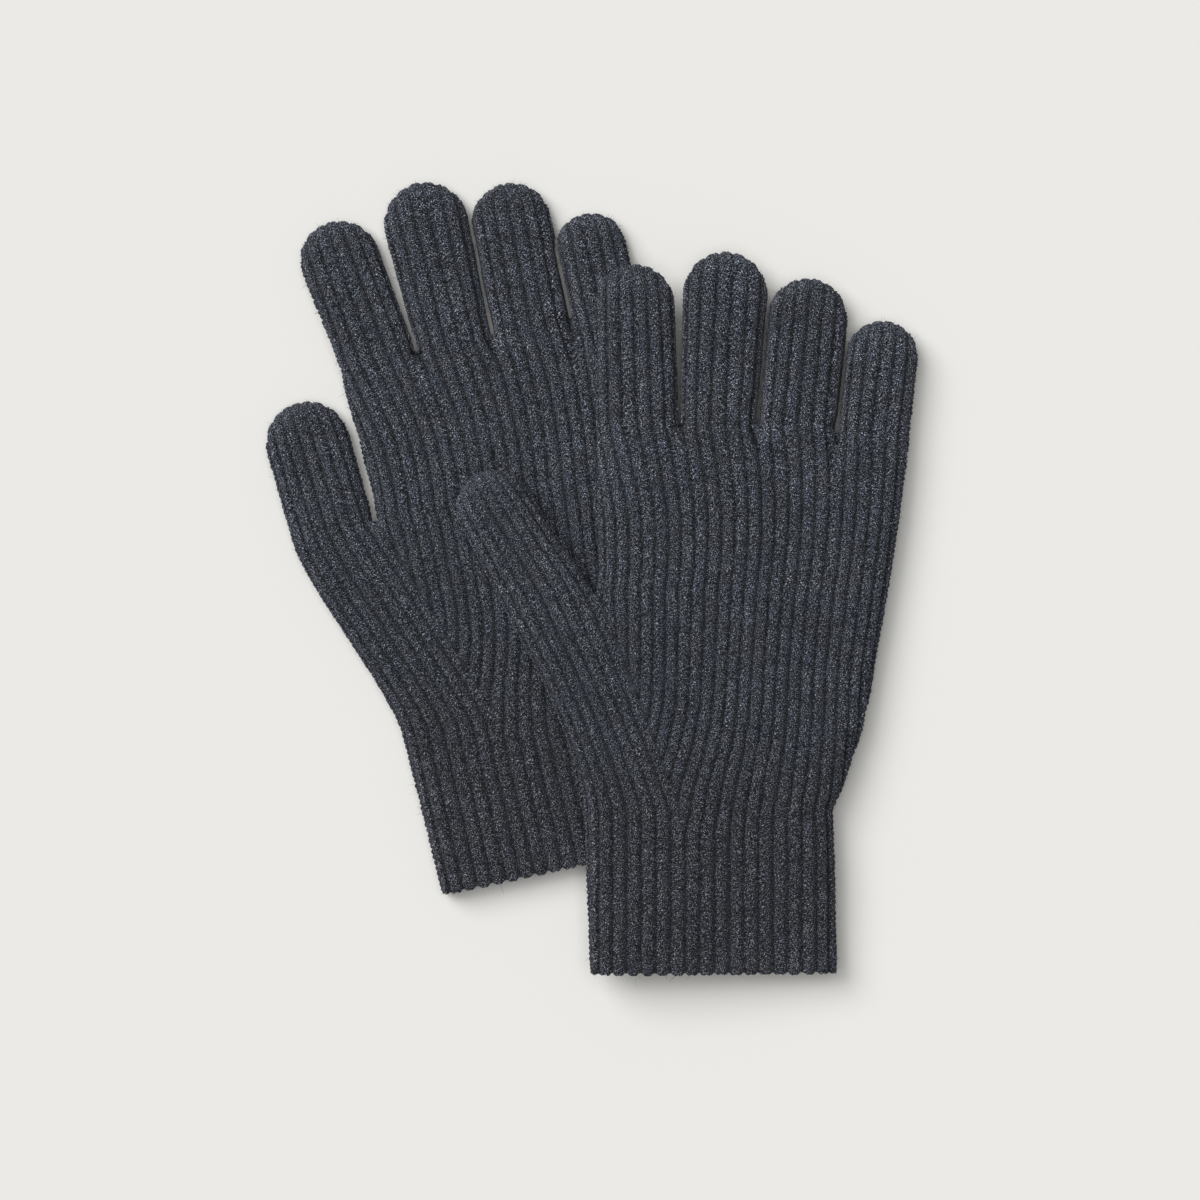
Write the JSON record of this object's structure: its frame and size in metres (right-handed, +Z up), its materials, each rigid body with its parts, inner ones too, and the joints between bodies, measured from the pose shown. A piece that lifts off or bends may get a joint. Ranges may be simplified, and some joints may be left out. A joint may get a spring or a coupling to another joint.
{
  "type": "knitted gloves",
  "caption": "Pair of ribbed, knitted five-finger gloves in dark slate-grey melange yarn, lying flat with one glove partly on top of the other.",
  "frame": {"origin": "middle of the pair, on the surface it lies on", "axes": "+Y towards the fingertips, +X towards the little fingers, +Z up, away from the surface"},
  "size_m": [0.2262, 0.2748, 0.026],
  "materials": {
    "rear_knit": "matte",
    "front_knit": "matte"
  },
  "bodies": {
    "rear_hand": {"rear_palm": "rear_knit", "rear_thumb_gusset": "rear_knit", "rear_cuff": "rear_knit", "rear_cuff_hem": "rear_knit"},
    "rear_thumb_base": {"rear_thumb_base": "rear_knit"},
    "rear_thumb_tip": {"rear_thumb_tip": "rear_knit"},
    "rear_index_base": {"rear_index_base": "rear_knit"},
    "rear_index_tip": {"rear_index_tip": "rear_knit"},
    "rear_middle_base": {"rear_middle_base": "rear_knit"},
    "rear_middle_tip": {"rear_middle_tip": "rear_knit"},
    "rear_ring_base": {"rear_ring_base": "rear_knit"},
    "rear_ring_tip": {"rear_ring_tip": "rear_knit"},
    "rear_little_base": {"rear_little_base": "rear_knit"},
    "rear_little_tip": {"rear_little_tip": "rear_knit"},
    "front_hand": {"front_palm": "front_knit", "front_thumb_gusset": "front_knit"},
    "front_cuff": {"front_cuff": "front_knit", "front_cuff_hem": "front_knit"},
    "front_thumb_base": {"front_thumb_base": "front_knit"},
    "front_thumb_tip": {"front_thumb_tip": "front_knit"},
    "front_index_base": {"front_index_base": "front_knit"},
    "front_index_tip": {"front_index_tip": "front_knit"},
    "front_middle_base": {"front_middle_base": "front_knit"},
    "front_middle_tip": {"front_middle_tip": "front_knit"},
    "front_ring_base": {"front_ring_base": "front_knit"},
    "front_ring_tip": {"front_ring_tip": "front_knit"},
    "front_little_base": {"front_little_base": "front_knit"},
    "front_little_tip": {"front_little_tip": "front_knit"}
  },
  "joints": [
    {"name": "rear_thumb_knuckle", "type": "hinge", "parent": "rear_hand", "child": "rear_thumb_base", "pos_m": [-0.09031, 0.01583, 0.011], "axis": [0.9646, 0.2639, 0], "range_deg": [0, 80]},
    {"name": "rear_thumb_fold", "type": "hinge", "parent": "rear_thumb_base", "child": "rear_thumb_tip", "pos_m": [-0.09769, 0.04284, 0.011], "axis": [0.9646, 0.2639, 0], "range_deg": [0, 100]},
    {"name": "rear_index_knuckle", "type": "hinge", "parent": "rear_hand", "child": "rear_index_base", "pos_m": [-0.07442, 0.07569, 0.011], "axis": [0.9774, 0.2113, 0], "range_deg": [0, 90]},
    {"name": "rear_index_fold", "type": "hinge", "parent": "rear_index_base", "child": "rear_index_tip", "pos_m": [-0.08055, 0.10403, 0.011], "axis": [0.9774, 0.2113, 0], "range_deg": [0, 100]},
    {"name": "rear_middle_knuckle", "type": "hinge", "parent": "rear_hand", "child": "rear_middle_base", "pos_m": [-0.04725, 0.08156, 0.011], "axis": [0.9774, 0.2113, 0], "range_deg": [0, 90]},
    {"name": "rear_middle_fold", "type": "hinge", "parent": "rear_middle_base", "child": "rear_middle_tip", "pos_m": [-0.0538, 0.11186, 0.011], "axis": [0.9774, 0.2113, 0], "range_deg": [0, 100]},
    {"name": "rear_ring_knuckle", "type": "hinge", "parent": "rear_hand", "child": "rear_ring_base", "pos_m": [-0.02051, 0.08734, 0.011], "axis": [0.9774, 0.2113, 0], "range_deg": [0, 90]},
    {"name": "rear_ring_fold", "type": "hinge", "parent": "rear_ring_base", "child": "rear_ring_tip", "pos_m": [-0.02622, 0.11373, 0.011], "axis": [0.9774, 0.2113, 0], "range_deg": [0, 100]},
    {"name": "rear_little_spread", "type": "hinge", "parent": "rear_hand", "child": "rear_little_base", "pos_m": [0.01859, 0.08915, 0.0055], "axis": [0, 0, -1], "range_deg": [0, 12]},
    {"name": "rear_little_fold", "type": "hinge", "parent": "rear_little_base", "child": "rear_little_tip", "pos_m": [0.00154, 0.11001, 0.011], "axis": [0.9774, 0.2113, 0], "range_deg": [0, 90]},
    {"name": "front_glove_lift", "type": "slide", "parent": "rear_hand", "child": "front_hand", "axis": [0, 0, 1], "range_m": [0, 0.15]},
    {"name": "front_wrist_fold", "type": "hinge", "parent": "front_hand", "child": "front_cuff", "pos_m": [0.04098, -0.08036, 0.02192], "axis": [-0.9988, 0, 0.0489], "range_deg": [0, 90]},
    {"name": "front_thumb_knuckle", "type": "hinge", "parent": "front_hand", "child": "front_thumb_base", "pos_m": [-0.01109, -0.01273, 0.02446], "axis": [0.8606, 0.5075, -0.0421], "range_deg": [0, 80]},
    {"name": "front_thumb_fold", "type": "hinge", "parent": "front_thumb_base", "child": "front_thumb_tip", "pos_m": [-0.02528, 0.0114, 0.02516], "axis": [0.8606, 0.5075, -0.0421], "range_deg": [0, 100]},
    {"name": "front_index_knuckle", "type": "hinge", "parent": "front_hand", "child": "front_index_base", "pos_m": [0.01676, 0.05314, 0.0231], "axis": [0.9988, 0, -0.0489], "range_deg": [0, 90]},
    {"name": "front_index_fold", "type": "hinge", "parent": "front_index_base", "child": "front_index_tip", "pos_m": [0.01676, 0.08214, 0.0231], "axis": [0.9988, 0, -0.0489], "range_deg": [0, 100]},
    {"name": "front_middle_knuckle", "type": "hinge", "parent": "front_hand", "child": "front_middle_base", "pos_m": [0.04452, 0.05314, 0.02174], "axis": [0.9988, 0, -0.0489], "range_deg": [0, 90]},
    {"name": "front_middle_fold", "type": "hinge", "parent": "front_middle_base", "child": "front_middle_tip", "pos_m": [0.04452, 0.08414, 0.02174], "axis": [0.9988, 0, -0.0489], "range_deg": [0, 100]},
    {"name": "front_ring_knuckle", "type": "hinge", "parent": "front_hand", "child": "front_ring_base", "pos_m": [0.07184, 0.05314, 0.02041], "axis": [0.9988, 0, -0.0489], "range_deg": [0, 90]},
    {"name": "front_ring_fold", "type": "hinge", "parent": "front_ring_base", "child": "front_ring_tip", "pos_m": [0.07184, 0.08014, 0.02041], "axis": [0.9988, 0, -0.0489], "range_deg": [0, 100]},
    {"name": "front_little_knuckle", "type": "hinge", "parent": "front_hand", "child": "front_little_base", "pos_m": [0.09816, 0.04664, 0.01912], "axis": [0.9988, 0, -0.0489], "range_deg": [0, 90]},
    {"name": "front_little_fold", "type": "hinge", "parent": "front_little_base", "child": "front_little_tip", "pos_m": [0.09816, 0.07064, 0.01912], "axis": [0.9988, 0, -0.0489], "range_deg": [0, 100]}
  ]
}
